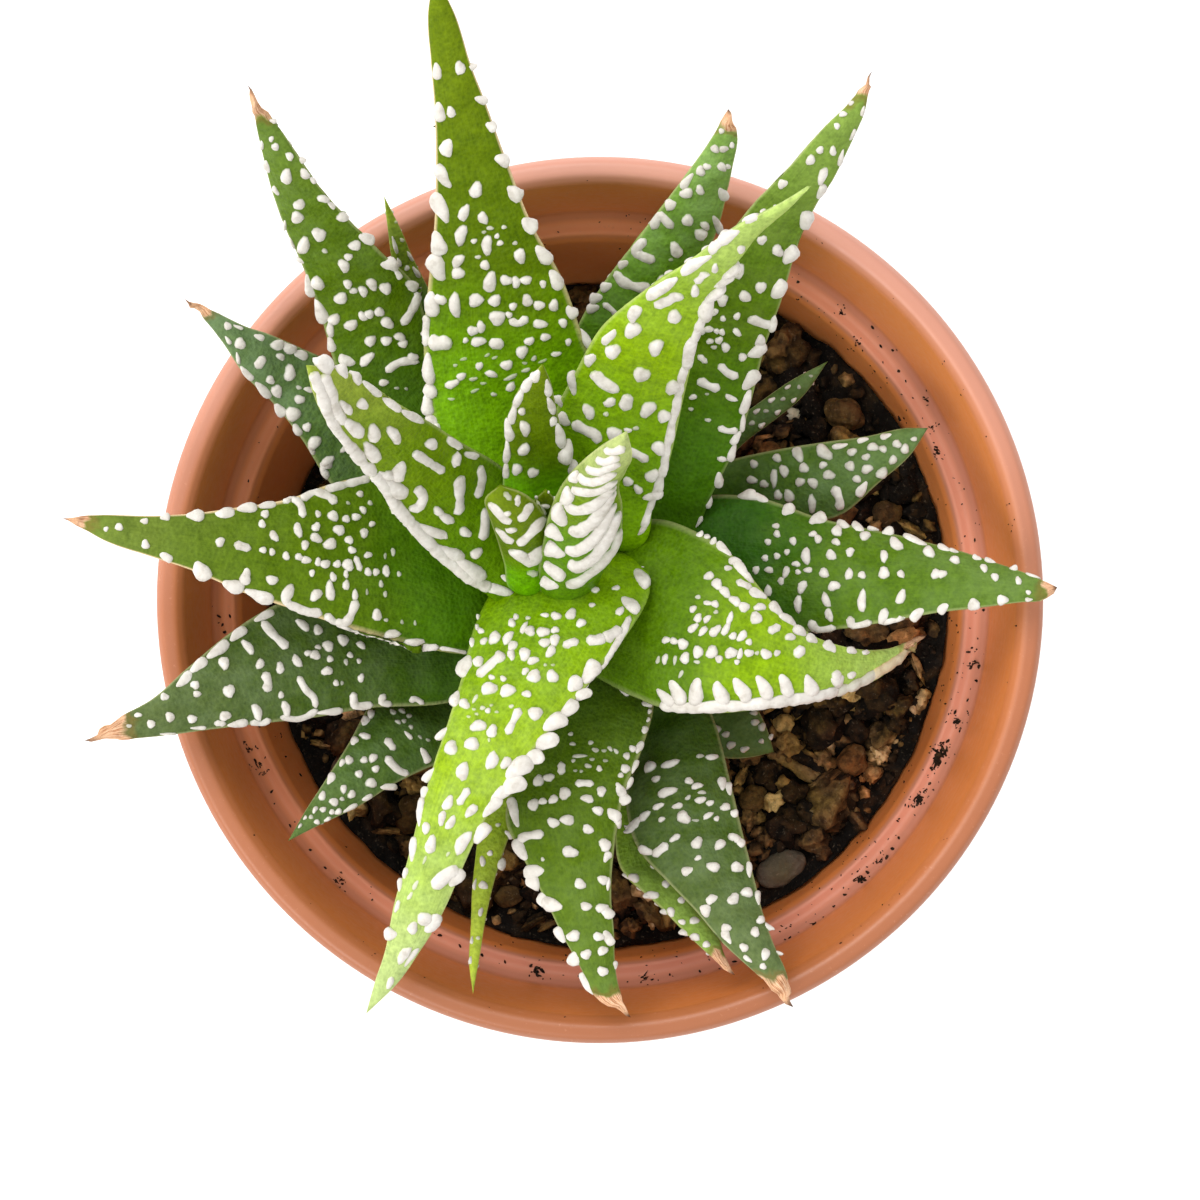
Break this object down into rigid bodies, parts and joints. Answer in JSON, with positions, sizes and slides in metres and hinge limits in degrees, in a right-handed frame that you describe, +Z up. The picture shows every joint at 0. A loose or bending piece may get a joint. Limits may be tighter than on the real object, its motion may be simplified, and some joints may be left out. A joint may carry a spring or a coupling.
{
  "type": "potted haworthia",
  "caption": "Rosette succulent with pointed, white-tubercled leaves on a short rooted stem, in potting mix in a round collared plastic plant pot with drain holes.",
  "frame": {"origin": "centre of the pot's underside, on the pot's axis in the plane it stands on", "axes": "+Z up along the pot's axis; seen from above, +X to the right and +Y to the top of the picture"},
  "size_m": [0.0964, 0.1016, 0.122],
  "materials": {
    "pot_plastic": "satin",
    "potting_mix": "matte",
    "stem_tissue": "satin",
    "root_tissue": "matte",
    "pebble": "matte",
    "bark": "matte",
    "mix_lump": "matte",
    "leaf_bright": "satin",
    "leaf_fresh": "satin",
    "leaf_mid": "satin",
    "leaf_dark": "satin"
  },
  "bodies": {
    "root": {"pot": "pot_plastic", "soil": "potting_mix", "stem": "stem_tissue", "root_1": "root_tissue", "root_2": "root_tissue", "root_3": "root_tissue", "root_4": "root_tissue", "root_5": "root_tissue", "root_6": "root_tissue", "leaf_01": "leaf_fresh", "leaf_02": "leaf_mid", "leaf_03": "leaf_dark", "leaf_04": "leaf_fresh", "leaf_05": "leaf_dark", "leaf_06": "leaf_dark", "leaf_07": "leaf_fresh", "leaf_08": "leaf_fresh", "leaf_09": "leaf_fresh", "leaf_10": "leaf_fresh", "leaf_11": "leaf_bright", "leaf_12": "leaf_bright", "leaf_13": "leaf_fresh", "leaf_14": "leaf_mid", "leaf_15": "leaf_dark", "leaf_16": "leaf_dark", "leaf_17": "leaf_mid", "leaf_18": "leaf_bright", "leaf_19": "leaf_bright", "leaf_20": "leaf_mid", "leaf_21": "leaf_dark", "leaf_22": "leaf_mid", "leaf_23": "leaf_dark", "leaf_24": "leaf_dark", "leaf_25": "leaf_dark", "pebble_grey_oval": "pebble", "pebble_pale": "pebble", "pebble_left": "pebble", "bark_chip_long": "bark", "bark_chip_wall": "bark", "lump_olive": "mix_lump", "lump_tan": "mix_lump", "lump_brown": "mix_lump", "lump_upper": "mix_lump", "lump_right": "mix_lump", "lump_low_left": "mix_lump", "lump_bottom": "mix_lump"}
  },
  "joints": []
}
